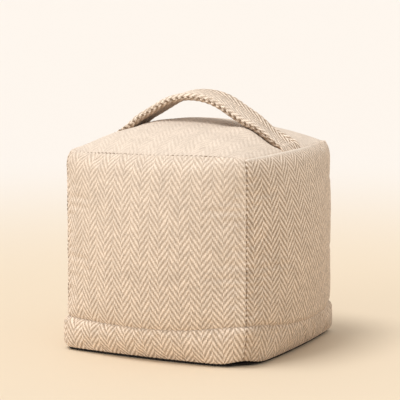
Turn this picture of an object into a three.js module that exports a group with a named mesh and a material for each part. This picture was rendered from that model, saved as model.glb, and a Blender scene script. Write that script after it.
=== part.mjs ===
// Weighted fabric door stop: a stuffed cube of herringbone cloth that stands on the floor, with a
// folded carrying strap over its top and a dark non-slip cloth under it.
// Millimetres, +Z up. The origin is on the floor under the middle of the cube, and the front face
// looks along -Y.

import * as THREE from 'three';

// Filled cover, side walls
const cornerSeamHalf = 69;      // from the middle to an upright corner seam, along X and along Y
const seamHeight = 139;         // top seam above the floor at the cube's corners
const seamRise = 1.2;           // how much higher the top seam stands at the middle of a side
const seamLean = 1.6;           // the front top seam leans: up at its right end, down at its left one
const shoulderHeight = 12;      // the corners round over in this last stretch below the top seam
const shoulderPull = 4.5;       // and come in by this much
const topBow = 9.5;             // top seam: how far a side bows out past its corners
const tuckBow = 14;             // the same at the tuck
const bellyBow = 8;             // what the filling adds to the bow half way up
const cornerSeamSink = 0.7;     // the stitches draw the seams in

// Base band below the tuck
const tuckHeight = 23;          // tuck sewn all round, above the floor
const tuckDepth = 1.4;
const tuckReach = 2.4;          // the pull of its stitches, above and below
const bandOut = 2.2;            // how far the band's belly stands out past the corner seams
const bandFootIn = 0.5;         // its lower edge turns in under the cube
const footBow = 5;              // bow of that lower edge
const footEnds = 0.5;           // how round the bow turns into the corners there; 1 is a plain arc
const footRound = 5;            // height of the round above that edge
const cornerLift = 5;           // the stitches draw the band's front right corner up, most at the tuck
const cornerDraw = 8;           // and in towards the middle, most at the foot
const cornerReach = 24;         // how far along the tuck that shows
const footCornerReach = 12;     // and along the foot
const cornerFade = 3;           // the lift has faded out this many tuck heights above the floor

// Top panel
const crownHeight = 16;         // dome of the filling above the top seam
const crownLean = 7;            // the crown's highest place lies this far towards -X
const strapDipLeft = 8;         // the strap presses the panel down beside its left seam
const strapDipRight = 2.5;      // and less beside its right one
const dipStartShare = 0.45;     // the hollow starts here, as a share of the way out to the seam,
const dipFullShare = 0.8;       // is deepest here,
const dipEndShare = 0.88;       // and comes up to the seam again from here
const dipHalfWidth = 17;        // along Y

// Herringbone cloth
const columnWidth = 7.4;        // one rib column, half a herringbone repeat
const panelCurve = 1.045;       // a panel's curved width over the straight way between its seams
const ribPitch = 4.75;          // rib to rib, up a column
const ribsPerColumn = 2;        // a rib climbs this many pitches across its column
const ribHeight = 0.45;

// Base cloth
const baseThickness = 1.6;
const baseInset = 1;            // inside the cover's lower edge
const basePoints = 8;           // outline points on each side, closer together at the corners

// Carrying strap
const strapWidth = 28;
const strapThickness = 4.4;
const strapForward = 7;         // its middle line lies this far in front of the cube's middle
const strapRise = 35;           // top of its arch, above the seam height
const strapApexSide = 2;        // which lies this far towards +X
const strapArchRadius = 48;
const strapLanding = 52;        // its straight legs come down this far from the top of the arch,
const strapLandingRise = 12;    // at this height above the seam height
const strapRollShare = 0.045;   // how far it rises from its front edge to its back one, over its width
const strapStitchIn = 2;        // edge stitching, in from each folded edge
const strapStitchSink = 0.7;
const strapSections = 26;
const strapEndShare = 0.35;     // its thickness where the seam pinches it
const strapEndLength = 20;
const strapLandingBlend = 2;    // how softly a leg comes down onto the top panel

const gap = 0.3;                // clearance between pieces that are sewn or laid together

// Worked out from the sizes above
const coverFoot = baseThickness + gap;
const columns = Math.max(4, Math.round(2 * cornerSeamHalf * panelCurve / columnWidth));
const rowStep = ribPitch / 2;   // one row on the rib, the next one between two ribs
const topRows = Math.max(8, Math.round(2 * cornerSeamHalf / rowStep));
const slant = 2 * ribsPerColumn;
const sides = 4;
const around = sides * columns;

const mix = THREE.MathUtils.lerp;
const smoothstep = THREE.MathUtils.smoothstep;
const hump = (share) => Math.sin(Math.PI * share);
const bowShape = (across, ends = 1) => Math.pow(Math.cos(Math.PI / 2 * across), ends);

// Quarter round: how far out a turning edge has come, from 0 at its foot to 1
function quarterRound(share) {
  const left = 1 - THREE.MathUtils.clamp(share, 0, 1);
  return Math.sqrt(1 - left * left);
}

// Seam distance and bow of a side at a height on the wall above the tuck
function wallSection(z) {
  const share = (z - tuckHeight) / (seamHeight - tuckHeight);
  const pull = shoulderPull * (1 - quarterRound((seamHeight - z) / shoulderHeight));
  const tuck = z <= tuckHeight ? tuckDepth : 0;
  return {
    half: cornerSeamHalf - pull - tuck,
    bow: mix(tuckBow, topBow, share) + bellyBow * hump(share),
    ends: 1,
    rise: seamRise * share * share,
    lean: seamLean * share * share,
  };
}

// The same for the base band, from its foot to the tuck
function bandSection(z) {
  const share = (z - coverFoot) / (tuckHeight - coverFoot);
  const foot = (bandFootIn + bandOut) * (1 - quarterRound((z - coverFoot) / footRound));
  const tuck = bandOut * (1 - quarterRound((tuckHeight - z) / tuckReach));
  return {
    half: cornerSeamHalf + bandOut - foot - tuck,
    bow: mix(footBow, tuckBow, share),
    ends: mix(footEnds, 1, share),
    rise: 0,
    lean: 0,
  };
}

// How the front seam's lean runs along it: evenly, and back to nothing at the corners
function leanShape(across) {
  return across * (1 - across ** 8);
}

// Point of a side, across from -1 at its left corner seam to 1 at its right one
function sidePoint(side, across, z, section, out) {
  const lean = side === 0 ? section.lean * leanShape(across) : 0;
  const point = new THREE.Vector3(across * (section.half + out),
    -(section.half + section.bow * bowShape(across, section.ends) + out),
    z + section.rise * (1 - across * across) + lean);
  return point.applyAxisAngle(new THREE.Vector3(0, 0, 1), side * Math.PI / 2);
}

// Where a point lies once the front right corner is drawn up and in. The foot rises half as much
// as the tuck.
function drawn(point) {
  const share = Math.min(1, point.z / tuckHeight);
  const reach = mix(footCornerReach, cornerReach, share);
  const away = Math.hypot(point.x - cornerSeamHalf, point.y + cornerSeamHalf) / reach;
  const near = Math.exp(-0.5 * away * away);
  const above = 1 - smoothstep(point.z, tuckHeight, cornerFade * tuckHeight);
  const inward = cornerDraw * (1 - share) * near / Math.SQRT2;
  return new THREE.Vector3(point.x - inward, point.y + inward,
    point.z + cornerLift * near * mix(0.5, 1, share) * above);
}

// Zones of the walls, from the foot of the cover up. Ribs run through the flat stretches and fade
// out where the cloth turns: at the foot, on both sides of the tuck, and over the shoulders.
const zones = [
  { bottom: coverFoot, top: coverFoot + footRound, ribbed: false, section: bandSection },
  { bottom: coverFoot + footRound, top: tuckHeight - tuckReach, ribbed: true, section: bandSection },
  { bottom: tuckHeight - tuckReach, top: tuckHeight, ribbed: false, section: bandSection },
  { bottom: tuckHeight, top: tuckHeight + tuckReach, ribbed: false, section: wallSection },
  { bottom: tuckHeight + tuckReach, top: seamHeight - shoulderHeight, ribbed: true,
    section: wallSection },
  { bottom: seamHeight - shoulderHeight, top: seamHeight, ribbed: false, section: wallSection },
];

// Rows of points up the walls, zone by zone; each zone keeps the numbers of its first and last row
function wallRows() {
  const rows = [];
  for (const zone of zones) {
    const count = Math.max(1, Math.round((zone.top - zone.bottom) / rowStep));
    zone.firstRow = rows.length;
    zone.lastRow = rows.length + count;
    for (let i = 0; i < count; i++) {
      const z = mix(zone.bottom, zone.top, i / count);
      rows.push({ z, section: zone.section(z), ribbed: zone.ribbed && i > 0 });
    }
  }
  rows.push({ z: seamHeight, section: wallSection(seamHeight), ribbed: false });
  return rows;
}

// Rows take turns on the rib and between two ribs
function ribOut(row) {
  return (row % 2 === 0 ? 0.5 : -0.5) * ribHeight;
}

// Top panel: where a place on it lies, from its two shares of the way across, each -1 to 1
function topPoint(acrossX, acrossY, out = 0) {
  const edge = wallSection(seamHeight);
  const x = acrossX * (edge.half + edge.bow * bowShape(acrossY));
  const y = acrossY * (edge.half + edge.bow * bowShape(acrossX));
  const domeX = 1 - acrossX * acrossX;
  const domeY = 1 - acrossY * acrossY;
  const rim = seamHeight + seamRise * Math.min(1, domeX + domeY)
    + seamLean * leanShape(acrossX) * (1 - acrossY) / 2;
  const lean = 1 - crownLean / cornerSeamHalf * acrossX;
  return new THREE.Vector3(x, y, rim + crownHeight * domeX * domeY * lean - dip(x, y) + out);
}

// Hollow of the top panel under each end of the strap
function dip(x, y) {
  const reach = Math.abs(x) / (cornerSeamHalf - shoulderPull + topBow);
  const along = smoothstep(reach, dipStartShare, dipFullShare)
    * (1 - smoothstep(reach, dipEndShare, 1));
  const aside = (y + strapForward) / dipHalfWidth;
  return (x < 0 ? strapDipLeft : strapDipRight) * along * Math.exp(-Math.pow(aside, 4));
}

// Height of the top panel over a place in plan, ribs included
function topHeight(x, y) {
  const edge = wallSection(seamHeight);
  let acrossX = x / (edge.half + edge.bow);
  let acrossY = y / (edge.half + edge.bow);
  for (let pass = 0; pass < 12; pass++) {
    acrossX = x / (edge.half + edge.bow * bowShape(acrossY));
    acrossY = y / (edge.half + edge.bow * bowShape(acrossX));
  }
  return topPoint(acrossX, acrossY, ribHeight / 2).z;
}

// A mesh that is put together from numbered points and triangles
class Shell {
  constructor() {
    this.places = [];
    this.faces = [];
  }

  point(place) {
    this.places.push(place.x, place.y, place.z);
    return this.places.length / 3 - 1;
  }

  // Closes the strip between two lines of points. The right line's places count as climb rows
  // lower than they are, so the strip's triangles, and the ribs, run up or down across it.
  strip(left, right, climb = 0, rightStep = 1) {
    let i = 0;
    let j = 0;
    while (i < left.length - 1 || j < right.length - 1) {
      const takeLeft = j === right.length - 1
        || (i < left.length - 1 && i + 1 <= (j + 1) * rightStep - climb);
      if (takeLeft) {
        this.faces.push(left[i], right[j], left[i + 1]);
        i += 1;
      } else {
        this.faces.push(left[i], right[j], right[j + 1]);
        j += 1;
      }
    }
  }

  geometry() {
    const geometry = new THREE.BufferGeometry();
    geometry.setAttribute('position', new THREE.Float32BufferAttribute(this.places, 3));
    geometry.setIndex(this.faces);
    geometry.computeVertexNormals();
    return geometry;
  }
}

// The lines of points up the walls, one for each column edge, going round from the front left seam
function wallLines(shell) {
  const rows = wallRows();
  const lines = [];
  for (let line = 0; line < around; line++) {
    const side = Math.floor(line / columns);
    const column = line % columns;
    const across = 2 * column / columns - 1;
    const sink = column === 0 ? -cornerSeamSink : 0;
    lines.push(rows.map(({ z, section, ribbed }, row) => {
      const out = ribbed && column !== 0 ? ribOut(row) : sink;
      return shell.point(drawn(sidePoint(side, across, z, section, out)));
    }));
  }
  return lines;
}

// Side walls: a strip for each column, ribs up across one and down across the next
function addWalls(shell, lines) {
  for (let line = 0; line < around; line++) {
    const left = lines[line];
    const right = lines[(line + 1) % around];
    const rise = (line % columns) % 2 === 0 ? slant : -slant;
    for (const zone of zones) {
      shell.strip(left.slice(zone.firstRow, zone.lastRow + 1),
        right.slice(zone.firstRow, zone.lastRow + 1), zone.ribbed ? rise : 0);
    }
  }
}

// Top panel: columns run from front to back, between the top points of the walls
function addTop(shell, lines) {
  const rim = lines.map((line) => line[line.length - 1]);
  const onRim = (index) => rim[index % around];
  const edges = [];
  for (let column = 0; column <= columns; column++) {
    const front = onRim(column);
    const back = onRim(3 * columns - column);
    const inner = [];
    for (let row = 1; row < topRows; row++) {
      inner.push(topPoint(2 * column / columns - 1, 2 * row / topRows - 1, ribOut(row)));
    }
    edges.push({ front, inner, back });
  }
  const topLines = edges.map((edge, column) => {
    if (column === 0 || column === columns) {
      const first = column === 0 ? around : columns;
      const step = column === 0 ? -1 : 1;
      return Array.from({ length: columns + 1 }, (_, i) => onRim(first + step * i));
    }
    return [edge.front, ...edge.inner.map((place) => shell.point(place)), edge.back];
  });
  const share = topRows / columns;
  for (let column = 0; column < columns; column++) {
    const left = topLines[column];
    const right = topLines[column + 1];
    if (column === 0) {
      addRimStrip(shell, right, left, share, true);
    } else if (column === columns - 1) {
      addRimStrip(shell, left, right, share, false);
    } else {
      shell.strip(left, right, column % 2 === 0 ? slant : -slant);
    }
  }
}

// Strip between a fine line of the top panel and the coarse line of the seam beside it
function addRimStrip(shell, fine, coarse, share, mirrored) {
  const first = shell.faces.length;
  shell.strip(fine, coarse, 0, share);
  if (!mirrored) return;
  for (let i = first; i < shell.faces.length; i += 3) {
    [shell.faces[i + 1], shell.faces[i + 2]] = [shell.faces[i + 2], shell.faces[i + 1]];
  }
}

// Flat underside of the filled cover
function addUnderside(shell, lines) {
  const middle = shell.point(new THREE.Vector3(0, 0, coverFoot));
  for (let line = 0; line < around; line++) {
    shell.faces.push(middle, lines[(line + 1) % around][0], lines[line][0]);
  }
}

function filledCover() {
  const shell = new Shell();
  const lines = wallLines(shell);
  addWalls(shell, lines);
  addTop(shell, lines);
  addUnderside(shell, lines);
  return shell.geometry();
}

// Dark non-slip cloth under the cube, cut to the cover's lower edge
function basePanel() {
  const foot = bandSection(coverFoot);
  const section = { ...foot, half: foot.half - baseInset };
  const outline = [];
  for (let side = 0; side < sides; side++) {
    for (let i = 0; i < basePoints; i++) {
      const across = -Math.cos(Math.PI * i / basePoints);
      const place = drawn(sidePoint(side, across, 0, section, 0));
      outline.push(new THREE.Vector2(place.x, place.y));
    }
  }
  return new THREE.ExtrudeGeometry(new THREE.Shape(outline),
    { depth: baseThickness, bevelEnabled: false, steps: 1 });
}

// Height of the strap's middle along its arch: a round top, and a straight leg on each side that
// runs on from it to the landing place
function archHeight(x) {
  const centre = seamHeight + strapRise - strapArchRadius;
  const below = centre - (seamHeight + strapLandingRise);
  const toLanding = Math.hypot(strapLanding, below);
  const lean = Math.atan2(below, strapLanding) + Math.asin(strapArchRadius / toLanding);
  const legStart = strapArchRadius * Math.sin(lean);
  const away = Math.abs(x - strapApexSide);
  if (away < legStart) {
    return centre + Math.sqrt(strapArchRadius ** 2 - away * away);
  }
  return centre + strapArchRadius * Math.cos(lean) - (away - legStart) * Math.tan(lean);
}

// Middle line of the strap at a place in plan: the arch, and where that is lower, the top panel
function strapMiddleHeight(x, y) {
  const slope = topHeight(x + 0.5, y) - topHeight(x - 0.5, y);
  const resting = topHeight(x, y) + (gap + strapThickness / 2) * Math.hypot(1, slope);
  const arch = archHeight(x) + strapRollShare * (y + strapForward);
  const apart = arch - resting;
  return resting + (apart + Math.sqrt(apart * apart + strapLandingBlend ** 2)) / 2;
}

// Section of the folded strap: thick rolled edges and a shallow line of stitches beside each
function strapOutline() {
  const half = strapWidth / 2;
  const high = strapThickness / 2;
  const stitch = half - strapStitchIn;
  const top = [[-half, 0], [-half + 0.5 * high, high * 0.9], [-stitch, high - strapStitchSink],
    [-stitch + strapStitchIn, high], [stitch - strapStitchIn, high],
    [stitch, high - strapStitchSink], [half - 0.5 * high, high * 0.9]];
  return [...top, ...top.map(([y, z]) => [-y, -z])];
}

// Carrying strap, its ends laid in the left and right top seams
function handleStrap() {
  const outline = strapOutline();
  const edge = wallSection(seamHeight);
  const shell = new Shell();
  const rings = [];
  for (let i = 0; i <= strapSections; i++) {
    const along = 2 * i / strapSections - 1;
    rings.push(outline.map(([side, fullUp]) => {
      const y = side - strapForward;
      const reach = edge.half + edge.bow * bowShape(y / (edge.half + edge.bow)) - gap;
      const x = along * reach;
      const pinch = Math.max(0, 1 - (reach - Math.abs(x)) / strapEndLength);
      const thin = 1 - (1 - strapEndShare) * pinch * pinch;
      const up = fullUp * thin;
      const z = strapMiddleHeight(x, y) - (1 - thin) * strapThickness / 2;
      const slope = (strapMiddleHeight(x + 0.5, y) - strapMiddleHeight(x - 0.5, y));
      const length = Math.hypot(1, slope);
      const lean = Math.abs(along) === 1 ? 0 : -slope / length * up;
      return shell.point(new THREE.Vector3(x + lean, y, z + up / length));
    }));
  }
  for (let i = 0; i < strapSections; i++) {
    for (let k = 0; k < outline.length; k++) {
      const next = (k + 1) % outline.length;
      shell.faces.push(rings[i][k], rings[i + 1][k], rings[i + 1][next]);
      shell.faces.push(rings[i][k], rings[i + 1][next], rings[i][next]);
    }
  }
  for (let k = 1; k < outline.length - 1; k++) {
    shell.faces.push(rings[0][0], rings[0][k], rings[0][k + 1]);
    const last = rings[strapSections];
    shell.faces.push(last[0], last[k + 1], last[k]);
  }
  return shell.geometry();
}

function piece(name, geometry, color, roughness) {
  const material = new THREE.MeshStandardMaterial({ color, roughness, metalness: 0 });
  material.name = name;
  const mesh = new THREE.Mesh(geometry, material);
  mesh.name = name;
  return mesh;
}

const doorStop = new THREE.Group();
doorStop.add(piece('filled_cover', filledCover(), 0xd9c4ad, 0.95));
doorStop.add(piece('base_panel', basePanel(), 0x1d1b1a, 0.9));
doorStop.add(piece('handle_strap', handleStrap(), 0xdcc8b1, 0.95));

export default doorStop;
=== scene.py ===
"""Weighted fabric door stop: a cube of herringbone cloth, sewn from five panels and stuffed, with a
carrying strap over its top and a dark non-slip cloth under it.

Sizes are in millimetres unless a line says otherwise. X runs along the front, the front face looks
along -Y, +Z is up, and the origin is on the floor under the middle of the cube.
"""

import math

import bpy
import numpy as np
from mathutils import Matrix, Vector


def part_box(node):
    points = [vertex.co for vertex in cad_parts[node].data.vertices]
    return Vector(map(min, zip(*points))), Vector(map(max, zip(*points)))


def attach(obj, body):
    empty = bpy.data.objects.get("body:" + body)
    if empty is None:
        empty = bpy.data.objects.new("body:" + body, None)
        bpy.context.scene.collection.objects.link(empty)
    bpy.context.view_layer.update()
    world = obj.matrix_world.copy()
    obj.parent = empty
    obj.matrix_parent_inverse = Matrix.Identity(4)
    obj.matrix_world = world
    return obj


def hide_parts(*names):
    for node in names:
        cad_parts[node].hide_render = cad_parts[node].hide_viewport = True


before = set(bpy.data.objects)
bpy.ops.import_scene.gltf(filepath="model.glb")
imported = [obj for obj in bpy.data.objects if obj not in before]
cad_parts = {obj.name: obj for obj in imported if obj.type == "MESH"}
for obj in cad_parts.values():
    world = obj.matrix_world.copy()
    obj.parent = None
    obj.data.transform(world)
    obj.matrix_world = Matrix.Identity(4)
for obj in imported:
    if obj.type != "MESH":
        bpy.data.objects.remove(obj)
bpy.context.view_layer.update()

# Side panels
# Four rectangles of herringbone cloth, sewn to each other down the corners. A tuck is stitched round
# them just above the foot, and the sand and wadding inside press them out between their seams.
MM = 0.001
cover_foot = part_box("filled_cover")[0].z / MM
corner_seam_half = 69.0         # from the middle to an upright corner seam
seam_height = 139.0             # top seam at the cube's corners
seam_rise = 1.2                 # how much higher it stands at the middle of a side
seam_lean = 1.6                 # the front one leans: up at its right end, down at its left one
lean_evenness = 8               # the higher, the nearer to the corners before the lean fades out
shoulder_height = 12.0
shoulder_pull = 4.5
top_bow = 9.5                   # how far a side bows out past its corners at the top seam,
tuck_bow = 14.0                 # at the tuck,
foot_bow = 5.0                  # and at the foot
belly_bow = 8.0                 # what the filling adds half way up
tuck_height = 23.0
tuck_depth = 1.0
tuck_softness = 1.3
tuck_reach = 4.0
tuck_take_up = 6.5              # cloth folded away inside the tuck
band_out = 1.7                  # belly of the band below the tuck
band_foot_in = 0.5
foot_ends = 0.5
foot_round = 6.0
corner_lift = 5.0               # the front right corner of the band is drawn up,
foot_lift_share = 0.3           # its foot by this share of that,
corner_draw = 8.0               # and it is drawn in
corner_reach = 24.0
foot_corner_reach = 7.0
corner_fade = 3.0
seam_sink = 1.4                 # the stitches draw the cloth in along every seam,
seam_softness = 1.6
stitch_spacing = 3.4
pucker = 0.2                    # and most of all at each stitch
seam_allowances = (1.0, 2.4)    # the cut edges run on inwards behind the seam
seam_rolls = (0.2, 1.7, 0.4, 0.4)   # the cloth of each side rolls up this much beside its top seam,
roll_highlights = (0.2, 1.25, 0.4, 0.4)   # and a painted highlight of this strength lies along the roll: front, right, back and left
roll_place = 3.2                # below the seam
roll_width = 2.0
roll_end_roundness = 0.3
# Width of the painted highlight along the roll
roll_highlight_width = 1.4
roll_highlight_fade = (-0.1, 0.9)     # the painted highlight fades out over this stretch across the panel


def mix(low, high, share):
    return low + (high - low) * share


def smoothstep(value, low, high):
    share = np.clip((value - low) / (high - low), 0, 1)
    return share * share * (3 - 2 * share)


def quarter_round(share):
    """How far out a turning edge has come, from 0 at its foot to 1."""
    left = 1 - np.clip(share, 0, 1)
    return np.sqrt(1 - left * left)


def bow_shape(across, ends=1.0):
    return np.maximum(np.cos(np.pi / 2 * across), 0) ** ends


def lean_shape(across):
    """How the front seam's lean runs along it: evenly, and back to nothing at the corners."""
    return across * (1 - across ** lean_evenness)


def seam_pull(to_seam, along):
    """How far the stitches of a seam draw the cloth in, this far from the seam and along it."""
    stitches = 1 + pucker * np.cos(2 * np.pi * along / stitch_spacing)
    return seam_sink * stitches * np.exp(-to_seam / seam_softness)


def to_top_seam(z):
    """How far below the top seam a side panel's places are, along the cloth."""
    below = seam_height - z
    return below + shoulder_pull * quarter_round(below / shoulder_height)


def seam_roll(to_top, width):
    return np.exp(-((to_top - roll_place) / width) ** 2)


def side_profile(z, belly):
    """Seam distance, bow, roundness of the bow's ends, and share of the way up the wall."""
    wall_share = np.clip((z - tuck_height) / (seam_height - tuck_height), 0, 1)
    band_share = np.clip((z - cover_foot) / (tuck_height - cover_foot), 0, 1)
    pull = shoulder_pull * (1 - quarter_round((seam_height - z) / shoulder_height))
    foot = (band_foot_in + band_out) * (1 - quarter_round((z - cover_foot) / foot_round))
    turn = band_out * (1 - quarter_round((tuck_height - z) / tuck_reach))
    crease = tuck_depth * np.exp(-np.abs(z - tuck_height) / tuck_softness)
    wall = z >= tuck_height
    half = np.where(wall, corner_seam_half - pull, corner_seam_half + band_out - foot - turn) - crease
    wall_bow = mix(tuck_bow, top_bow, wall_share) + belly * np.sin(np.pi * wall_share)
    bow = np.where(wall, wall_bow, mix(foot_bow, tuck_bow, band_share))
    ends = np.where(wall, 1.0, mix(foot_ends, 1.0, band_share))
    return half, bow, ends, wall_share


def corner_drawn(points):
    """The points once the stitches have drawn the front right corner of the band up and in."""
    share = np.clip(points[..., 2] / tuck_height, 0, 1)
    reach = mix(foot_corner_reach, corner_reach, share)
    away = np.hypot(points[..., 0] - corner_seam_half, points[..., 1] + corner_seam_half) / reach
    near = np.exp(-0.5 * away * away)
    above = 1 - smoothstep(points[..., 2], tuck_height, corner_fade * tuck_height)
    inward = corner_draw * (1 - share) * near / math.sqrt(2)
    lift = corner_lift * near * mix(foot_lift_share, 1.0, share) * above
    return points + np.stack([-inward, inward, lift], axis=-1)


def turned(x, y, z, side):
    """Points of the front side turned round to another side."""
    turn = side * math.pi / 2
    return np.stack([x * math.cos(turn) - y * math.sin(turn),
                     x * math.sin(turn) + y * math.cos(turn), z], axis=-1)


def side_points(side, across, z, belly=belly_bow):
    """Points of a side panel, across from -1 at its left corner seam to 1 at its right one."""
    half, bow, ends, wall_share = side_profile(z, belly)
    half = half - seam_pull((1 - np.abs(across)) * half, z)
    x = across * half
    y = -(half + bow * bow_shape(across, ends))
    to_top = to_top_seam(z)
    up = z + seam_rise * wall_share ** 2 * (1 - across ** 2) - seam_pull(to_top, x)
    up = up + seam_rolls[side] * seam_roll(to_top, roll_width) * bow_shape(across, roll_end_roundness)
    if side == 0:
        up = up + seam_lean * wall_share ** 2 * lean_shape(across)
    return corner_drawn(turned(x, y, up, side))


# The cloth is a twill of cream warp and brown weft. Its ribs climb across one column of warp threads
# and fall across the next, and break by half a rib between two columns.
warp_spacing = 0.9225
column_warps = 8
column_width = warp_spacing * column_warps
rib_pitch = 4.72                # rib to rib, up a column
rib_climb = 2.1                 # ribs that one column's width climbs
rib_height = 0.2
# Sewn cloth lies a little wavy. A long wave has a height, a length and a start, and a short one has
# a height, a length and the length that it drifts over.
sideways_waves = ((0.35, 19.0, 0.7), (0.2, 7.3, 31.0))
upward_waves = ((0.5, 17.0, 1.1), (0.25, 6.1, 23.0))


def wave(waves, along, across):
    (long_height, long_length, start), (short_height, short_length, drift) = waves
    long_wave = long_height * np.sin(along / long_length + start)
    return long_wave + short_height * np.sin(along / short_length + across / drift)


def cloth_places(u, v, painted_light):
    """Cloth coordinates u and v with the waviness of sewn cloth, and its painted light, as points.

    From 0 to 1 the painted light washes the weave out towards a pale tint, past 1 it is a painted
    highlight, and below 0 it is painted shade in which the brown weft shows."""
    wavy_u = u + wave(sideways_waves, v, u)
    wavy_v = v + wave(upward_waves, u, v)
    return np.stack([wavy_u, wavy_v, painted_light + 0 * u], axis=-1)


def rib_relief(cloth):
    """Height of the ribs over the middle of the cloth."""
    columns, ribs = cloth[..., 0] / column_width, cloth[..., 1] / rib_pitch
    odd = np.floor(columns) % 2
    phase = ribs - (1 - 2 * odd) * rib_climb * (columns % 1 - 0.5) + 0.5 * odd
    return rib_height / 2 * np.cos(2 * np.pi * phase)


def link_object(name, mesh):
    made = bpy.data.objects.new(name, mesh)
    bpy.context.scene.collection.objects.link(made)
    return made


least_area = 1e-6               # square millimetres: a face folded up smaller than this is left out


def grid_object(name, points, cloth, closed=False):
    """A smooth quad mesh over rows and columns of points, with its cloth coordinates and its UV map.
    A closed grid joins its last column to its first, and has a flat face over each end."""
    rows, columns = points.shape[:2]
    number = np.arange(rows * columns).reshape(rows, columns)
    after = np.roll(number, -1, axis=1)
    if not closed:
        number, after = number[:, :-1], after[:, :-1]
    quads = np.stack([number[:-1], after[:-1], after[1:], number[1:]], axis=-1).reshape(-1, 4)
    across, up = np.meshgrid(np.arange(number.shape[1]), np.arange(rows - 1))
    across = np.stack([across, across + 1, across + 1, across], axis=-1) / number.shape[1]
    up = np.stack([up, up, up + 1, up + 1], axis=-1) / (rows - 1)
    places = np.stack([across, up], axis=-1).reshape(-1, 4, 2)
    points, cloth = points.reshape(-1, 3), cloth.reshape(-1, 3)
    first, second, third, fourth = (points[quads[:, corner]] for corner in range(4))
    open_faces = np.linalg.norm(np.cross(third - first, fourth - second), axis=-1) > least_area
    quads, places = quads[open_faces], places[open_faces].reshape(-1, 2)
    corners, starts = quads.ravel(), np.arange(0, quads.size, 4)
    if closed:
        corners = np.concatenate([corners, number[0, ::-1], number[-1]])
        ring = np.arange(columns) / columns
        ends = [np.stack([ring[::-1], 0 * ring], axis=-1), np.stack([ring, 0 * ring + 1], axis=-1)]
        places = np.concatenate([places, *ends])
        starts = np.append(starts, [quads.size, quads.size + columns])
    used, corners = np.unique(corners, return_inverse=True)
    mesh = bpy.data.meshes.new(name)
    mesh.vertices.add(used.size)
    mesh.vertices.foreach_set("co", (points[used] * MM).astype(np.float32).ravel())
    mesh.loops.add(corners.size)
    mesh.loops.foreach_set("vertex_index", corners.astype(np.int32))
    mesh.polygons.add(starts.size)
    mesh.polygons.foreach_set("loop_start", starts.astype(np.int32))
    mesh.polygons.foreach_set("use_smooth", np.ones(starts.size, dtype=bool))
    mesh.update(calc_edges=True)
    weave = mesh.attributes.new("cloth", "FLOAT_VECTOR", "POINT")
    weave.data.foreach_set("vector", cloth[used].astype(np.float32).ravel())
    layer = mesh.uv_layers.new(name="OFBake")
    layer.data.foreach_set("uv", places.astype(np.float32).ravel())
    return link_object(name, mesh)


def grid_normals(points, closed=False):
    """Outward normals of a grid whose columns run to the right and rows up."""
    if closed:
        across = np.roll(points, -1, axis=1) - np.roll(points, 1, axis=1)
    else:
        across = np.gradient(points, axis=1)
    normals = np.cross(across, np.gradient(points, axis=0))
    return normals / np.maximum(np.linalg.norm(normals, axis=-1, keepdims=True), 1e-9)


def path_lengths(line):
    """How far along a line of points each point lies."""
    steps = np.linalg.norm(np.diff(line, axis=0), axis=-1)
    return np.concatenate([[0], np.cumsum(steps)])


def with_allowances(points, cloth, beside, below, above):
    """The panel with its seam allowances, and a grid that is 1 on the panel and 0 on them.

    beside, below and above give the direction that an edge's allowance takes."""
    shown = np.ones(points.shape[:2])
    for axis, first_way, last_way in ((1, beside, beside), (0, below, above)):
        first, last = points.take([0], axis), points.take([-1], axis)
        cloth_first, cloth_last = cloth.take([0], axis), cloth.take([-1], axis)
        step = cloth.take([1], axis) - cloth_first
        for count, depth in enumerate(seam_allowances, start=1):
            points = np.concatenate([first + first_way(first) * depth, points,
                                     last + last_way(last) * depth], axis)
            cloth = np.concatenate([cloth_first - count * step, cloth,
                                    cloth_last + count * step], axis)
        margins = [(0, 0), (0, 0)]
        margins[axis] = (len(seam_allowances),) * 2
        shown = np.pad(shown, margins)
    return points, cloth, shown


def towards_middle(points):
    """Level directions from the points towards the cube's upright middle line."""
    level = points * np.array([-1.0, -1.0, 0.0])
    return level / np.linalg.norm(level, axis=-1, keepdims=True)


def downwards(points):
    return np.broadcast_to(np.array([0.0, 0.0, -1.0]), points.shape)


def cloth_object(name, points, cloth, shown=1.0, closed=False):
    """A piece of the cloth with its ribs standing on it."""
    relief = rib_relief(cloth) * shown
    return grid_object(name, points + grid_normals(points, closed) * relief[..., None], cloth, closed)


# The filling presses each panel out against its seams in a cloth simulation. The panel is cut a
# little larger than its frame of seams, so it swells and puckers where the stitches hold it.
swell = 3.2                     # how much flatter the panels start
swell_limit = 3.0               # the furthest that a place may end from its smooth form
cloth_excess = 0.008
filling_pressure = 2.0
simulation_frames = 30
simulation_scale = 10.0         # the solver works best on a cloth of about a metre
coarse_columns = 42
coarse_rows = 46


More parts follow.
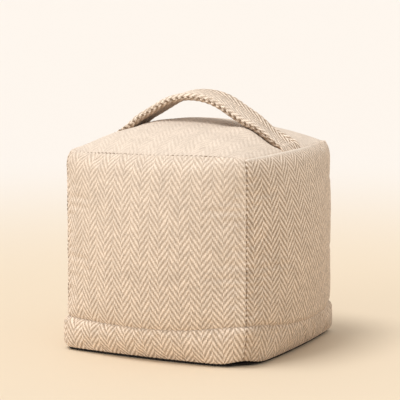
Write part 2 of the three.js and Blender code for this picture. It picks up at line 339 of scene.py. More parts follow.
def stuffed(start, smooth, held, sink_limit=swell_limit):
    """How far the places of a panel lie from its smooth form once the filling presses on it.

    The seams, which are held, stay in place, and nothing sinks further than the limit."""
    sheet = grid_object("cut_panel", start * simulation_scale, np.zeros_like(start))
    seams = sheet.vertex_groups.new(name="seams")
    seams.add(np.flatnonzero(held).tolist(), 1.0, "REPLACE")
    filling = sheet.modifiers.new("filling", "CLOTH")
    filling.point_cache.frame_start = 1
    filling.point_cache.frame_end = simulation_frames
    filling.collision_settings.use_collision = False
    settings = filling.settings
    settings.vertex_group_mass = "seams"
    settings.quality = 6
    settings.mass = 0.2
    settings.tension_stiffness = 30.0
    settings.compression_stiffness = 30.0
    settings.shear_stiffness = 10.0
    settings.bending_stiffness = 1.0
    settings.use_pressure = True
    settings.uniform_pressure_force = filling_pressure
    settings.shrink_min = -cloth_excess
    settings.effector_weights.gravity = 0.0
    for number in range(1, simulation_frames + 1):
        bpy.context.scene.frame_set(number)
    settled = np.empty(start.size, dtype=np.float32)
    evaluated = sheet.evaluated_get(bpy.context.evaluated_depsgraph_get())
    evaluated.data.vertices.foreach_get("co", settled)
    mesh = sheet.data
    bpy.data.objects.remove(sheet)
    bpy.data.meshes.remove(mesh)
    bpy.context.scene.frame_set(1)
    offset = settled.reshape(start.shape) / MM / simulation_scale - smooth
    length = np.linalg.norm(offset, axis=-1, keepdims=True)
    offset = offset * np.minimum(1, swell_limit / np.maximum(length, 1e-6))
    normals = grid_normals(smooth)
    out = (offset * normals).sum(axis=-1, keepdims=True)
    return offset + normals * (np.maximum(out, -sink_limit) - out)


def curve_weights(places, count):
    """Weights that carry values at even knots over to places from 0 to 1, along smooth curves."""
    knots = np.clip(places, 0, 1) * (count - 1)
    first = np.minimum(np.floor(knots).astype(int), count - 2)
    t = knots - first
    parts = {-1: (-t + 2 * t ** 2 - t ** 3) / 2, 0: (2 - 5 * t ** 2 + 3 * t ** 3) / 2,
             1: (t + 4 * t ** 2 - 3 * t ** 3) / 2, 2: (-t ** 2 + t ** 3) / 2}
    weights = np.zeros((len(places), count))
    for step, part in parts.items():
        np.add.at(weights, (np.arange(len(places)), np.clip(first + step, 0, count - 1)), part)
    return weights


def spread(offset, rows, columns):
    """The coarse panel's offsets on a finer grid, from its shares of the way up and across."""
    up = curve_weights(rows, offset.shape[0])
    across = curve_weights(columns, offset.shape[1])
    return np.einsum("ri,ijk,cj->rck", up, offset, across)


panel_width = 146.0             # round the bow from corner seam to corner seam
panel_columns = 317
panel_rows = 244
measured_across = 0.4           # heights are measured along the cloth here,
measured_points = 4000          # over this many points
# Where the ribs of each side start, and its painted light at the foot and at the top seam: paler upwards,
# and below 0 painted shade, as at the right side's foot
first_columns = {"front": 145.0, "right": 5.8, "back": 3.0, "left": 1.5}
side_painted_light = {"front": (0.1, 0.5), "right": (-0.3, 0.12), "back": (0.0, 0.3), "left": (0.1, 0.4)}


def side_panel(side, name):
    """A side panel, from its foot to the top seam."""
    heights = np.linspace(cover_foot, seam_height, measured_points)
    lengths = path_lengths(side_points(side, np.full_like(heights, measured_across), heights))

    def grid(rows, columns):
        up = np.linspace(0, 1, rows)
        z = np.interp(up * lengths[-1], lengths, heights)
        return np.meshgrid(np.linspace(-1, 1, columns), z)

    across, z = grid(coarse_rows, coarse_columns)
    held = np.zeros(across.shape, dtype=bool)
    held[[0, -1, np.abs(z[:, 0] - tuck_height).argmin()]] = True
    held[:, [0, -1]] = True
    offset = stuffed(side_points(side, across, z, belly_bow - swell), side_points(side, across, z), held)
    across, z = grid(panel_rows, panel_columns)
    points = side_points(side, across, z) + spread(offset, np.linspace(0, 1, panel_rows),
                                                   np.linspace(0, 1, panel_columns))
    u = (across + 1) / 2 * panel_width - first_columns[name]
    v = np.interp(z, heights, lengths) + tuck_take_up * (z > tuck_height)
    # Painted highlight along the roll beside the top seam, fading out across the panel
    roll_highlight = roll_highlights[side] * seam_roll(to_top_seam(z), roll_highlight_width)
    roll_highlight = roll_highlight * (1 - smoothstep(across, *roll_highlight_fade))
    # Painted light that grows paler up the side, plus the painted highlight along the roll
    painted_light = mix(*side_painted_light[name], z / seam_height) + roll_highlight
    points, cloth, shown = with_allowances(points, cloth_places(u, v, painted_light),
                                           towards_middle, towards_middle, downwards)
    return cloth_object(name + "_panel", points, cloth, shown)


side_panels = [side_panel(side, name) for side, name in enumerate(first_columns)]


def new_tree(name, inputs, outputs, kind="ShaderNodeTree"):
    """A node group with named sockets, and its input and output nodes."""
    tree = bpy.data.node_groups.new(name, kind)
    for label, socket, default in inputs:
        item = tree.interface.new_socket(label, in_out="INPUT", socket_type=socket)
        if default is not None:
            item.default_value = default
    for label, socket in outputs:
        tree.interface.new_socket(label, in_out="OUTPUT", socket_type=socket)
    return tree, tree.nodes.new("NodeGroupInput").outputs, tree.nodes.new("NodeGroupOutput").inputs


def feed(tree, socket, value):
    """Links a socket to another one, or sets it."""
    if isinstance(value, bpy.types.NodeSocket):
        tree.links.new(value, socket)
    else:
        socket.default_value = value


def new_node(tree, kind, inputs=(), **settings):
    """A node with its settings, and its inputs linked or set by their names or numbers."""
    node = tree.nodes.new(kind)
    for setting, value in settings.items():
        setattr(node, setting, value)
    for key, value in dict(inputs).items():
        feed(tree, node.inputs[key], value)
    return node


def maths(tree, operation, *values):
    return new_node(tree, "ShaderNodeMath", enumerate(values), operation=operation).outputs[0]


def noise(tree, vector, scale, detail=2.0):
    inputs = {"Vector": vector, "Scale": scale, "Detail": detail}
    return new_node(tree, "ShaderNodeTexNoise", inputs).outputs["Fac"]


def ranged(tree, value, low, high, to_low=0.0, to_high=1.0, kind="SMOOTHSTEP"):
    inputs = {"Value": value, "From Min": low, "From Max": high, "To Min": to_low, "To Max": to_high}
    return new_node(tree, "ShaderNodeMapRange", inputs, interpolation_type=kind).outputs["Result"]


fuzz_scale = 0.9
rib_unevenness = 0.5            # how far the fuzz shifts a rib's edge, in ribs
wefts_per_rib = 4.0
weft_top = 0.85                 # the weft lies lower than the warp, which is 1


def herringbone_group():
    """Where the cream warp lies on top, how high the yarns stand, and a tone for each float."""
    tree, given, result = new_tree(
        "herringbone_weave",
        [("Cloth", "NodeSocketVector", None), ("Warp Spacing", "NodeSocketFloat", warp_spacing),
         ("Column Warps", "NodeSocketFloat", column_warps), ("Rib Pitch", "NodeSocketFloat", rib_pitch),
         ("Climb", "NodeSocketFloat", rib_climb), ("Edge Softness", "NodeSocketFloat", 0.3)],
        [("Cream", "NodeSocketFloat"), ("Height", "NodeSocketFloat"), ("Tone", "NodeSocketFloat")])
    split = new_node(tree, "ShaderNodeSeparateXYZ", {0: given["Cloth"]})
    warps = maths(tree, "DIVIDE", split.outputs["X"], given["Warp Spacing"])
    warp = maths(tree, "FLOOR", warps)
    columns = maths(tree, "DIVIDE", maths(tree, "ADD", warp, 0.5), given["Column Warps"])
    column = maths(tree, "FLOOR", columns)
    odd = maths(tree, "FLOORED_MODULO", column, 2.0)
    way = maths(tree, "MULTIPLY_ADD", odd, -2.0, 1.0)
    place = maths(tree, "SUBTRACT", maths(tree, "SUBTRACT", columns, column), 0.5)
    climbed = maths(tree, "MULTIPLY", maths(tree, "MULTIPLY", way, place), given["Climb"])
    ribs = maths(tree, "DIVIDE", split.outputs["Y"], given["Rib Pitch"])
    fuzz = noise(tree, given["Cloth"], fuzz_scale, detail=3.0)
    uneven = maths(tree, "MULTIPLY_ADD", fuzz, rib_unevenness, -rib_unevenness / 2)
    ribs_there = maths(tree, "ADD", maths(tree, "SUBTRACT", ribs, climbed), uneven)
    phase = maths(tree, "MULTIPLY_ADD", odd, 0.5, ribs_there)
    near = maths(tree, "ABSOLUTE", maths(tree, "MULTIPLY_ADD", maths(tree, "FRACT", phase), 2.0, -1.0))
    low = maths(tree, "SUBTRACT", 0.5, given["Edge Softness"])
    high = maths(tree, "ADD", 0.5, given["Edge Softness"])
    cream = ranged(tree, near, low, high)
    from_warp = maths(tree, "ABSOLUTE", maths(tree, "SUBTRACT", maths(tree, "FRACT", warps), 0.5))
    wefts = maths(tree, "MULTIPLY", ribs, wefts_per_rib)
    from_weft = maths(tree, "ABSOLUTE", maths(tree, "SUBTRACT", maths(tree, "FRACT", wefts), 0.5))
    warp_round = maths(tree, "SUBTRACT", 1.0, maths(tree, "MULTIPLY", from_warp, from_warp))
    weft_round = maths(tree, "SUBTRACT", weft_top, maths(tree, "MULTIPLY", from_weft, from_weft))
    top = maths(tree, "MULTIPLY", warp_round, cream)
    under = maths(tree, "MULTIPLY", weft_round, maths(tree, "SUBTRACT", 1.0, cream))
    along = maths(tree, "FLOOR", maths(tree, "MULTIPLY", phase, 2.0))
    float_number = new_node(tree, "ShaderNodeCombineXYZ", {"X": warp, "Y": along}).outputs[0]
    tone = new_node(tree, "ShaderNodeTexWhiteNoise", {"Vector": float_number}, noise_dimensions="2D")
    tree.links.new(cream, result["Cream"])
    tree.links.new(maths(tree, "ADD", top, under), result["Height"])
    tree.links.new(tone.outputs["Value"], result["Tone"])
    return tree


herringbone = herringbone_group()


def new_material(name, roughness, sheen=0.0):
    """A material, its node tree, its Principled shader and its bump node."""
    material = bpy.data.materials.new(name)
    material.use_nodes = True
    tree = material.node_tree
    shader = tree.nodes["Principled BSDF"]
    shader.inputs["Roughness"].default_value = roughness
    shader.inputs["Specular IOR Level"].default_value = 0.2
    shader.inputs["Sheen Weight"].default_value = sheen
    bump = tree.nodes.new("ShaderNodeBump")
    tree.links.new(bump.outputs["Normal"], shader.inputs["Normal"])
    return material, tree, shader, bump


def mixed_colour(tree, share, low, high, blend="MIX"):
    inputs = {"Factor": share, "A": low, "B": high}
    mixed = new_node(tree, "ShaderNodeMix", inputs, data_type="RGBA", blend_type=blend)
    return mixed.outputs["Result"]


def grey(tree, value):
    return new_node(tree, "ShaderNodeCombineColor", {0: value, 1: value, 2: value}).outputs[0]


cream_yarn = (0.90, 0.755, 0.62)
brown_yarn = (0.46, 0.335, 0.235)
# The tint that painted light washes the weave towards, and the colour of the painted highlight
painted_light_tint = (0.745, 0.63, 0.525)
highlight_colour = (0.93, 0.83, 0.71)
full_highlight = 1.7                  # from this painted light on, the cloth is painted highlight all over
float_shades = (0.85, 1.1)      # the darkest and the palest float of yarn
painted_light_evening = 0.7               # full painted light hides this share of their difference
yarn_depths = (0.6, 0.95)       # down between the yarns and up on them,
yarn_painted_shades = (0.88, 1.02)      # and the painted shade there, darkest down between the yarns
noise_span = (0.3, 0.7)         # where most values of a noise lie
patch_scale = 0.08
patch_shades = (0.96, 1.03)
cover_flecks = (0.93, 1.05)
cover_fleck_scale = 1.3
fuzz_height = 0.5               # beside a yarn's 1


def herringbone_material(name, cream, brown, light_tint, flecks, fleck_scale):
    """Herringbone cloth in two yarn colours, the tint that its painted light washes them towards, and its
    flecks' shades.
    """
    material, tree, shader, bump = new_material(name, roughness=0.92, sheen=0.1)
    cloth = new_node(tree, "ShaderNodeAttribute", attribute_name="cloth").outputs["Vector"]
    weave = new_node(tree, "ShaderNodeGroup", node_tree=herringbone)
    tree.links.new(cloth, weave.inputs["Cloth"])
    # Painted light, the cloth's third value: from 0 to 1 it washes the weave towards a pale tint, past 1
    # it is a painted highlight, and below 0 it is painted shade that mixes in the brown weft
    painted_light = new_node(tree, "ShaderNodeSeparateXYZ", {0: cloth}).outputs["Z"]
    light_share = ranged(tree, painted_light, 0.0, 1.0, kind="LINEAR")
    highlight_share = ranged(tree, painted_light, 1.0, full_highlight, kind="LINEAR")
    shade_share = ranged(tree, painted_light, 0.0, -1.0, kind="LINEAR")
    colour = mixed_colour(tree, weave.outputs["Cream"], (*brown, 1), (*cream, 1))
    colour = mixed_colour(tree, light_share, colour, (*light_tint, 1))
    colour = mixed_colour(tree, highlight_share, colour, (*highlight_colour, 1))
    colour = mixed_colour(tree, shade_share, colour, (*brown, 1))
    # Each float's random tone, times the painted shade down between the yarns
    shade = maths(tree, "MULTIPLY", ranged(tree, weave.outputs["Tone"], 0.0, 1.0, *float_shades),
                  ranged(tree, weave.outputs["Height"], *yarn_depths, *yarn_painted_shades))
    # Painted light hides part of the differences between these shades
    evening = maths(tree, "MULTIPLY", light_share, painted_light_evening)
    shade = maths(tree, "MULTIPLY_ADD", maths(tree, "SUBTRACT", 1.0, shade), evening, shade)
    fuzz = noise(tree, cloth, fleck_scale, detail=3.0)
    for value, shades in ((noise(tree, cloth, patch_scale), patch_shades), (fuzz, flecks)):
        shade = maths(tree, "MULTIPLY", shade, ranged(tree, value, *noise_span, *shades))
    colour = mixed_colour(tree, 1.0, colour, grey(tree, shade), blend="MULTIPLY")
    tree.links.new(colour, shader.inputs["Base Color"])
    height = maths(tree, "MULTIPLY_ADD", fuzz, fuzz_height, weave.outputs["Height"])
    tree.links.new(height, bump.inputs["Height"])
    bump.inputs["Strength"].default_value = 0.4
    bump.inputs["Distance"].default_value = 0.2 * MM
    return material


cover_cloth = herringbone_material("herringbone_cloth", cream_yarn, brown_yarn, painted_light_tint,
                                   cover_flecks, cover_fleck_scale)


def finish_cover_panel(panel):
    panel.data.materials.append(cover_cloth)
    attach(panel, "root")
    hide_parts("filled_cover")


for panel in side_panels:
    finish_cover_panel(panel)


# Top panel
# The fifth panel closes the cube over the filling. It is domed between its four seams, and pressed in
# under the ends of the strap.
crown_height = 16.0
crown_lean = 7.0                # the crown's highest place lies this far towards -X
strap_dip_left = 11.0
strap_dip_right = 4.0
dip_start_share = 0.48          # of the way out to the seam
dip_full_share = 0.8
dip_end_share = 0.88
dip_half_widths = (14.4, 13.0)  # the left hollow, and the right one
dip_sharpness = 6
press_outs = (                  # the filling is pushed up in front of the strap's ends: how far, where
    (5.0, (46.0, -19.0), (14.0, 15.0)),     # in plan, and how far round there
    (2.0, (-28.0, -14.0), (17.0, 17.0)),
    (1.3, (-51.0, -26.0), (12.0, 10.0)),
)
press_out_reach = 3             # the higher, the nearer to the seams it goes on
crown_swell = 2.0
crown_sink_limit = 0.4          # the filling keeps the dome up
held_hollow = 1.0               # the strap holds the cloth down where its hollow is deeper than this
side_seam_ends = 0.1            # how soon the left and right seams' pull fades at the corners
most_pull = 1.3                 # where two seams meet, in seam sinks
# Painted light that makes the whole top panel paler
top_painted_light = 0.82
strap_low, strap_high = (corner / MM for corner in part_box("handle_strap"))
strap_middle = (strap_low.y + strap_high.y) / 2
strap_width = strap_high.y - strap_low.y
top_columns = 317
top_rows = 252


def strap_hollow(x, y):
    """How deep the strap presses the top panel down beside its seams."""
    reach = np.abs(x) / (corner_seam_half - shoulder_pull + top_bow)
    along = smoothstep(reach, dip_start_share, dip_full_share) * (1 - smoothstep(reach, dip_end_share, 1))
    depth = np.where(x < 0, strap_dip_left, strap_dip_right)
    half_width = np.where(x < 0, *dip_half_widths)
    return depth * along * np.exp(-((y - strap_middle) / half_width) ** dip_sharpness)


def top_points(across_x, across_y, crown=crown_height):
    """Points of the top panel from their shares of the way across, each -1 to 1."""
    half = corner_seam_half - shoulder_pull
    x = across_x * (half + top_bow * bow_shape(across_y))
    y = across_y * (half + top_bow * bow_shape(across_x))
    dome_x = 1 - across_x ** 2
    dome_y = 1 - across_y ** 2
    rim = seam_height + seam_rise * np.minimum(1, dome_x + dome_y)
    rim = rim + seam_lean * lean_shape(across_x) * (1 - across_y) / 2
    lean = 1 - crown_lean / corner_seam_half * across_x
    pull = (seam_pull((1 - np.abs(across_x)) * half, y) * bow_shape(across_y, side_seam_ends)
            + seam_pull((1 - np.abs(across_y)) * half, x))
    pressed = sum(height * np.exp(-((x - at_x) / reach_x) ** 2 - ((y - at_y) / reach_y) ** 2)
                  for height, (at_x, at_y), (reach_x, reach_y) in press_outs)
    pressed = pressed * np.minimum(1, press_out_reach * dome_x * dome_y)
    z = (rim + crown * dome_x * dome_y * lean + pressed - strap_hollow(x, y)
         - np.minimum(pull, most_pull * seam_sink))
    return np.stack([x, y, z], axis=-1)


def top_panel():
    across_x, across_y = np.meshgrid(np.linspace(-1, 1, coarse_columns), np.linspace(-1, 1, coarse_rows))
    smooth = top_points(across_x, across_y)
    held = strap_hollow(smooth[..., 0], smooth[..., 1]) > held_hollow
    held[[0, -1]] = True
    held[:, [0, -1]] = True
    start = top_points(across_x, across_y, crown_height - crown_swell)
    offset = stuffed(start, smooth, held, crown_sink_limit)
    across_x, across_y = np.meshgrid(np.linspace(-1, 1, top_columns), np.linspace(-1, 1, top_rows))
    points = top_points(across_x, across_y) + spread(offset, np.linspace(0, 1, top_rows),
                                                     np.linspace(0, 1, top_columns))
    cloth = cloth_places((across_x + 1) / 2 * panel_width, (across_y + 1) / 2 * panel_width, top_painted_light)
    points, cloth, shown = with_allowances(points, cloth, downwards, downwards, downwards)
    return cloth_object("top_panel", points, cloth, shown)


finish_cover_panel(top_panel())


# Base cloth
# A dark non-slip cloth is sewn to the panels' lower edges and closes the cube underneath. Its edge
# shows as a thin dark line at the floor.
base_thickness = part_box("base_panel")[1].z / MM
base_inset = 1.0                # inside the cover's lower edge
base_edge_round = 0.5
base_edge_points = 48           # along each side
base_shares = (0.05, 0.3, 0.55, 0.8)    # rings of points between the middle and the edge
base_corner_cut = 0.05          # its underside is drawn in at the front right corner
base_corner_reach = 14.0
base_top_ring = 30.0            # the upper face has a ring of points this far in
base_black = (0.010, 0.007, 0.006)
base_grey = (0.032, 0.026, 0.022)


def base_ring(inset, z, cut=0.0):
    """Line round the base, this far inside the cover's foot, and drawn in at the corner."""
    across = -np.cos(np.linspace(0, np.pi, base_edge_points, endpoint=False))
    half, bow, ends, _ = side_profile(np.float64(cover_foot), belly_bow)
    x = across * (half - inset)
    y = -(half - inset + bow * bow_shape(across, ends))
    ring = corner_drawn(np.concatenate([turned(x, y, np.zeros_like(x), side) for side in range(4)]))
    away = np.hypot(ring[:, 0] - corner_seam_half, ring[:, 1] + corner_seam_half) / base_corner_reach
    ring = ring * (1 - cut * np.exp(-0.5 * away * away))[:, None]
    ring[:, 2] = z
    return ring


def base_cloth_piece():
    underside = base_ring(base_inset + base_edge_round, 0.0, base_corner_cut)
    rings = [underside * share for share in base_shares]
    rings += [underside, base_ring(base_inset, base_edge_round, base_corner_cut),
              base_ring(base_inset, base_thickness - base_edge_round),
              base_ring(base_inset + base_edge_round, base_thickness),
              base_ring(base_inset + base_top_ring, base_thickness)]
    points = np.stack(rings)
    return grid_object("base_cloth", points, points, closed=True)


def speckled_material(name, dark, pale, scale, depth, strength, **finish):
    """A material whose grains of this scale are dark or pale, and stand up by this depth."""
    material, tree, shader, bump = new_material(name, **finish)
    places = new_node(tree, "ShaderNodeTexCoord").outputs["Object"]
    grain = noise(tree, places, scale, detail=3.0)
    colour = mixed_colour(tree, ranged(tree, grain, *noise_span), (*dark, 1), (*pale, 1))
    tree.links.new(colour, shader.inputs["Base Color"])
    tree.links.new(grain, bump.inputs["Height"])
    bump.inputs["Strength"].default_value = strength
    bump.inputs["Distance"].default_value = depth * MM
    return material


base_cloth = base_cloth_piece()
base_cloth.data.materials.append(speckled_material(
    "base_cloth", base_black, base_grey, scale=900.0, depth=0.3, strength=0.5, roughness=0.75))
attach(base_cloth, "root")
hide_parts("base_panel")


# Carrying strap
# A strip of the same cloth, folded over and stitched along both edges. It arches over the top, and
# its ends are caught in the left and right top seams.
strap_thickness = 4.7
strap_edge_roll = 0.24          # the folded edges stand thicker by this share,
strap_edge_roll_place = 2.2     # this far in
strap_edge_roll_width = 2.2
strap_rise = 35.0               # top of its arch above the seam height
strap_apex_side = 2.0
strap_arch_radius = 48.0
strap_landing = 52.0            # its legs come down this far from the top of the arch,
strap_landing_rise = 12.0       # this much above the seam height
strap_roll = 0.045              # how far it rises from front to back, over its width,
strap_left_roll = 0.06          # and how much more it does so at its left landing
strap_left_roll_span = (34.0, 48.0)
strap_drops = (3.8, 5.0)        # its left and right legs bend down to their landings
strap_drop_spans = ((40.0, 58.0), (38.0, 62.0))
strap_landing_blend = 1.4
strap_gap = 0.3
strap_stitch_sink = 0.4         # its stitches draw its edges in,
strap_stitch_width = 2.0
strap_pucker = 0.4              # by this share of that less between two of them
strap_stitch_spacing = 4.3
strap_end_share = 0.35          # it grows thin by this,
strap_end_length = 20.0         # over this length
strap_end_closed = 0.02         # its ends are pinched to this share
strap_tail = 5.0                # this much of each end goes down into the seam,
strap_tail_drop = 4.0           # by this much
strap_rows = 330
strap_around = 112
strap_section_points = 2000
strap_squareness = 0.36
strap_first_column = -7.0
strap_painted_light = (0.32, 0.0)        # painted light beside its near fold, and beside its far one,
strap_painted_light_span = (-strap_width / 4, strap_width / 8)    # which change over between these places
strap_outer_span = (0.0, 1.5)   # of the strap's height, from its middle up,
strap_under_painted_shade = -0.7          # and painted shade on its inner face,
strap_under_span = (0.6, 2.2)   # from its middle down
strap_cream = (0.94, 0.80, 0.665)
strap_brown = (0.39, 0.27, 0.18)
# The tint that the strap's painted light washes its weave towards
strap_painted_light_tint = (0.88, 0.745, 0.615)
strap_flecks = (0.84, 1.12)
strap_fleck_scale = 0.75


def arch_height(x):
    """Height of the strap's middle: a round top between two straight legs."""
    centre = seam_height + strap_rise - strap_arch_radius
    below = centre - (seam_height + strap_landing_rise)
    to_landing = math.hypot(strap_landing, below)
    lean = math.atan2(below, strap_landing) + math.asin(strap_arch_radius / to_landing)
    away = np.abs(x - strap_apex_side)
    inside = np.minimum(away, strap_arch_radius * math.sin(lean))
    drops = [drop * smoothstep(away, *span) for drop, span in zip(strap_drops, strap_drop_spans)]
    drop = np.where(x < strap_apex_side, *drops)
    return centre + np.sqrt(strap_arch_radius ** 2 - inside ** 2) - (away - inside) * math.tan(lean) - drop


height_rounds = 12              # enough for a place in plan to settle on the bowed panel


def top_height(x, y):
    """Height of the top panel over places in plan."""
    half = corner_seam_half - shoulder_pull
    across_x, across_y = x / (half + top_bow), y / (half + top_bow)
    for _ in range(height_rounds):
        across_x = np.clip(x / (half + top_bow * bow_shape(across_y)), -1, 1)
        across_y = np.clip(y / (half + top_bow * bow_shape(across_x)), -1, 1)
    return top_points(across_x, across_y)[..., 2]


def strap_middle_height(x, y):
    """Height of the strap's middle layer: its arch, and where that is lower, the top panel."""
    slope = top_height(x + 0.5, y) - top_height(x - 0.5, y)
    resting = top_height(x, y) + (strap_gap + strap_thickness / 2) * np.hypot(1, slope)
    roll = strap_roll + strap_left_roll * smoothstep(-x, *strap_left_roll_span)
    apart = arch_height(x) + roll * (y - strap_middle) - resting
    return resting + (apart + np.sqrt(apart ** 2 + strap_landing_blend ** 2)) / 2


def strap_places(across, up):
    """Points along the strap for places across it and up through it, and the way along it.

    Its edges dip at every stitch, and its ends grow thin and go down into the seams."""
    half = corner_seam_half - shoulder_pull
    y = strap_middle + across[None]
    reach = half + top_bow * bow_shape(y / (half + top_bow))
    x = np.linspace(-1, 1, strap_rows)[:, None] * reach
    y = y + 0 * x
    to_end = reach - np.abs(x)
    thin = 1 - (1 - strap_end_share) * np.clip(1 - to_end / strap_end_length, 0, 1) ** 2
    middle = strap_middle_height(x, y)
    slope = strap_middle_height(x + 0.5, y) - strap_middle_height(x - 0.5, y)
    length = np.hypot(1, slope)
    line = strap_middle_height(x[:, :1], strap_middle)
    along = path_lengths(np.concatenate([x[:, :1], line], axis=1))[:, None] + 0 * x
    from_edge = strap_width / 2 - np.abs(across[None])
    pucker_there = 1 - strap_pucker + strap_pucker * np.cos(2 * np.pi * along / strap_stitch_spacing)
    sink = strap_stitch_sink * pucker_there * np.exp(-(from_edge / strap_stitch_width) ** 2)
    y = y - np.sign(across[None]) * sink
    rise = (up[None] - np.sign(up[None]) * sink) * thin
    tail = strap_tail_drop * np.clip(1 - to_end / strap_tail, 0, 1) ** 2
    z = middle - (1 - thin) * strap_thickness / 2 - tail
    return np.stack([x - slope / length * rise, y, z + rise / length], axis=-1), along


def strap_section():
    """Places round the folded strap: across it, how far up, and the cloth's length round it."""
    turn = np.linspace(-np.pi, np.pi, strap_section_points)
    across = np.sign(np.cos(turn)) * np.abs(np.cos(turn)) ** strap_squareness * strap_width / 2
    up = np.sign(np.sin(turn)) * np.abs(np.sin(turn)) ** strap_squareness * strap_thickness / 2
    from_roll = strap_width / 2 - strap_edge_roll_place - np.abs(across)
    up = up * (1 + strap_edge_roll * np.exp(-(from_roll / strap_edge_roll_width) ** 2))
    lengths = path_lengths(np.stack([across, up], axis=-1))
    places = np.linspace(0, lengths[-1], strap_around, endpoint=False)
    return np.interp(places, lengths, across), np.interp(places, lengths, up), places


def carrying_strap_piece():
    across, up, round_it = strap_section()
    points, along = strap_places(across, up)
    # Painted light on the strap's outer face, most beside its near fold, and painted shade on its inner
    # face
    near, far = strap_painted_light
    painted_light = mix(near, far, smoothstep(across, *strap_painted_light_span)) * smoothstep(up, *strap_outer_span)
    painted_light = painted_light + strap_under_painted_shade * smoothstep(-up, *strap_under_span)
    cloth = cloth_places(round_it[None] - strap_first_column + 0 * along, along, painted_light[None])
    first, last = (mix(row.mean(axis=0), row, strap_end_closed) for row in (points[0], points[-1]))
    points = np.concatenate([first[None], points, last[None]])
    cloth = np.concatenate([cloth[:1], cloth, cloth[-1:]])
    return cloth_object("carrying_strap", points, cloth, closed=True)


carrying_strap = carrying_strap_piece()
strap_cloth = herringbone_material("strap_cloth", strap_cream, strap_brown, strap_painted_light_tint,
                                   strap_flecks, strap_fleck_scale)
carrying_strap.data.materials.append(strap_cloth)
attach(carrying_strap, "root")
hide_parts("handle_strap")


# Seam thread
# Dark brown thread, which shows as short stitches down in the seams between the panels, and along
# both folded edges of the strap.
thread_brown = (0.19, 0.125, 0.08)
thread_pale = (0.32, 0.225, 0.15)
seam_stitch_length = 2.2
seam_stitch_thickness = 0.65
right_seam_depth = 0.5          # the right top seam is rolled over and hides its stitches,
corner_seam_depth = 0.25        # and those of the corner seams lie a little deeper than the rest
strap_stitch_length = 2.6
strap_stitch_thickness = 1.3
strap_stitch_slant = -0.8
strap_stitch_up = 0.3           # above the middle of the folded edge
strap_stitch_out = 0.2          # of its thickness, out from that edge
stitch_sizes = (0.8, 1.15)      # the smallest and the largest, as shares
stitch_seed = 5
line_points = 300
seam_end = 2.5                  # clear of a corner seam's ends
top_seam_end = 7.0
strap_stitch_end = 7.0


def stitching_tree():
    """Stitches strung along lines: short grains of thread, a little uneven."""
    tree, given, result = new_tree(
        "stitches_along_lines",
        [("Lines", "NodeSocketGeometry", None), ("Spacing", "NodeSocketFloat", 0.003),
         ("Length", "NodeSocketFloat", 0.002), ("Thickness", "NodeSocketFloat", 0.0007),
         ("Slant", "NodeSocketFloat", 0.0),
         ("Thread", "NodeSocketMaterial", None)],
        [("Stitches", "NodeSocketGeometry")], kind="GeometryNodeTree")
    curve = new_node(tree, "GeometryNodeMeshToCurve", {"Mesh": given["Lines"]})
    strung = new_node(tree, "GeometryNodeResampleCurve",
                      {"Curve": curve.outputs["Curve"], "Length": given["Spacing"]}, mode="LENGTH")
    tangent = new_node(tree, "GeometryNodeInputTangent")
    slant = new_node(tree, "ShaderNodeCombineXYZ", {"Z": given["Slant"]})
    slanting = new_node(tree, "ShaderNodeVectorMath",
                        {0: tangent.outputs[0], 1: slant.outputs[0]}, operation="ADD")
    turn = new_node(tree, "FunctionNodeAlignRotationToVector", {"Vector": slanting.outputs[0]}, axis="X")
    grain = new_node(tree, "GeometryNodeMeshUVSphere", {"Segments": 8, "Rings": 6, "Radius": 0.5})
    size = new_node(tree, "ShaderNodeCombineXYZ",
                    {"X": given["Length"], "Y": given["Thickness"], "Z": given["Thickness"]})
    smallest, largest = stitch_sizes
    uneven = new_node(tree, "FunctionNodeRandomValue",
                      {2: smallest, 3: largest, "Seed": stitch_seed}, data_type="FLOAT")
    scaled = new_node(tree, "ShaderNodeVectorMath",
                      {0: size.outputs[0], "Scale": uneven.outputs[1]}, operation="SCALE")
    placed = new_node(tree, "GeometryNodeInstanceOnPoints",
                      {"Points": strung.outputs["Curve"], "Instance": grain.outputs["Mesh"],
                       "Rotation": turn.outputs[0], "Scale": scaled.outputs[0]})
    realised = new_node(tree, "GeometryNodeRealizeInstances", {0: placed.outputs[0]})
    smooth = new_node(tree, "GeometryNodeSetShadeSmooth", {0: realised.outputs[0]})
    covered = new_node(tree, "GeometryNodeSetMaterial",
                       {"Geometry": smooth.outputs[0], "Material": given["Thread"]})
    tree.links.new(covered.outputs["Geometry"], result["Stitches"])
    return tree


stitching = stitching_tree()
seam_thread = speckled_material("seam_thread", thread_brown, thread_pale, scale=2400.0, depth=0.15,
                                strength=0.6, roughness=0.7, sheen=0.1)


def stitches(name, lines, spacing, length, thickness, slant=0.0):
    """A plain mesh of stitches along lines of points."""
    mesh = bpy.data.meshes.new(name)
    edges, count = [], 0
    for line in lines:
        edges += [(number, number + 1) for number in range(count, count + len(line) - 1)]
        count += len(line)
    mesh.from_pydata((np.concatenate(lines) * MM).tolist(), edges, [])
    strung = link_object(name, mesh)
    stitched = strung.modifiers.new("stitches", "NODES")
    stitched.node_group = stitching
    values = {"Spacing": spacing * MM, "Length": length * MM, "Thickness": thickness * MM,
              "Slant": slant, "Thread": seam_thread}
    for socket in stitching.interface.items_tree:
        if socket.name in values:
            stitched[socket.identifier] = values[socket.name]
    evaluated = strung.evaluated_get(bpy.context.evaluated_depsgraph_get())
    plain = bpy.data.meshes.new_from_object(evaluated)
    strung.modifiers.clear()
    strung.data = plain
    bpy.data.meshes.remove(mesh)
    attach(strung, "root")
    return strung


def outwards(points, up, depth=0.0):
    """The points moved out of their seams by half a stitch, level or as much up as out."""
    way = -towards_middle(points) + np.array([0.0, 0.0, up])
    way = way / np.linalg.norm(way, axis=-1, keepdims=True)
    return points + way * (seam_stitch_thickness / 2 - depth)


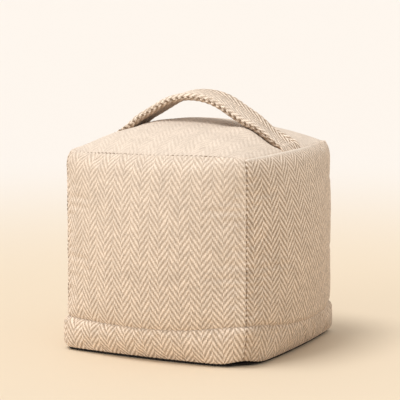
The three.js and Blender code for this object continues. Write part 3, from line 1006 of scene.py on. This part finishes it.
def seam_lines():
    """The lines of the four upright corner seams and the four top seams."""
    heights = np.linspace(cover_foot + seam_end, seam_height - seam_end, line_points)
    across = np.linspace(-1, 1, line_points) * (1 - top_seam_end / corner_seam_half)
    lines = []
    for side, name in enumerate(first_columns):
        depth = right_seam_depth if name == "right" else 0.0
        lines.append(outwards(side_points(side, np.ones_like(heights), heights), 0.0, corner_seam_depth))
        lines.append(outwards(side_points(side, across, np.full_like(across, seam_height)), 1.0, depth))
    return lines


def strap_lines():
    """The lines along the strap's two folded edges."""
    across = strap_width / 2 + strap_stitch_out * strap_stitch_thickness
    places, along = strap_places(np.array([-across, across]), np.full(2, strap_stitch_up))
    clear = (along[:, 0] > strap_stitch_end) & (along[:, 0] < along[-1, 0] - strap_stitch_end)
    return [places[clear, number] for number in range(2)]


cover_thread = stitches("cover_seam_thread", seam_lines(), stitch_spacing, seam_stitch_length,
                        seam_stitch_thickness)
strap_thread = stitches("strap_edge_thread", strap_lines(), strap_stitch_spacing, strap_stitch_length,
                        strap_stitch_thickness, strap_stitch_slant)


# Floor, light and camera
# A plain pale floor that fades to cream in the distance, an even sky, a high soft sun from the left,
# and a weak low light from the front left.
floor_half = 15.0               # metres
floor_near = (0.75, 0.63, 0.48)
floor_far = (0.79, 0.745, 0.70)
fade_start = 0.2
fade_end = 1.1
floor_mesh = bpy.data.meshes.new("floor")
floor_mesh.from_pydata([(-floor_half, -floor_half, 0), (floor_half, -floor_half, 0),
                        (floor_half, floor_half, 0), (-floor_half, floor_half, 0)], [], [(0, 1, 2, 3)])
floor = link_object("floor", floor_mesh)
floor_material, tree, shader, bump = new_material("pale_floor", roughness=0.8)
places = new_node(tree, "ShaderNodeTexCoord").outputs["Object"]
distance = new_node(tree, "ShaderNodeVectorMath", {0: places}, operation="LENGTH")
colour = mixed_colour(tree, ranged(tree, distance.outputs["Value"], fade_start, fade_end),
                      (*floor_near, 1), (*floor_far, 1))
tree.links.new(colour, shader.inputs["Base Color"])
floor.data.materials.append(floor_material)

sky_colour = (1.0, 0.975, 0.94)
sky_strength = 0.72
seen_sky = (0.99, 0.93, 0.86)
world = bpy.data.worlds.new("even_sky")
bpy.context.scene.world = world
world.use_nodes = True
tree = world.node_tree
sky = tree.nodes["Background"]
sky.inputs["Color"].default_value = (*sky_colour, 1)
sky.inputs["Strength"].default_value = sky_strength
backdrop = new_node(tree, "ShaderNodeBackground", {"Color": (*seen_sky, 1)})
rays = new_node(tree, "ShaderNodeLightPath")
seen = maths(tree, "MAXIMUM", rays.outputs["Is Camera Ray"],
             maths(tree, "MAXIMUM", rays.outputs["Is Glossy Ray"], rays.outputs["Is Transmission Ray"]))
chosen = new_node(tree, "ShaderNodeMixShader", {"Fac": seen, 1: sky.outputs[0], 2: backdrop.outputs[0]})
tree.links.new(chosen.outputs["Shader"], tree.nodes["World Output"].inputs["Surface"])



def direction(turn, height):
    """The way to a place that lies this many degrees round from the front to the right, and up."""
    turn, height = math.radians(turn), math.radians(height)
    return Vector((math.sin(turn) * math.cos(height), -math.cos(turn) * math.cos(height),
                   math.sin(height)))


# Degrees round from the front to the right, degrees up, strength, and softness in degrees
lamps = {
    "high_sun": (-45, 72, 1.6, 24),
    "front_light": (-25, 10, 0.8, 50),
}
for name, (turn, height, strength, softness) in lamps.items():
    lamp = bpy.data.lights.new(name, "SUN")
    lamp.energy = strength
    lamp.angle = math.radians(softness)
    holder = bpy.data.objects.new(name, lamp)
    holder.rotation_euler = (-direction(turn, height)).to_track_quat("-Z", "Y").to_euler()
    bpy.context.scene.collection.objects.link(holder)

view_turn = 26.8
view_height = 9.36
view_distance = 1300 * MM
view_target = Vector((0, 0, 70 * MM))
aim_up = 29.2 * MM              # the picture's middle lies above the target
aim_left = 0.63 * MM
back = direction(view_turn, view_height)
to_right = direction(view_turn + 90, 0)
to_top = back.cross(to_right)
camera = bpy.data.objects.new("camera", bpy.data.cameras.new("camera"))
camera.data.lens = 166.5
camera.location = view_target + back * view_distance
aim = view_target + to_top * aim_up - to_right * aim_left
camera.rotation_euler = (aim - camera.location).to_track_quat("-Z", "Y").to_euler()
bpy.context.scene.collection.objects.link(camera)
bpy.context.scene.camera = camera
bpy.context.scene.view_settings.view_transform = "Standard"
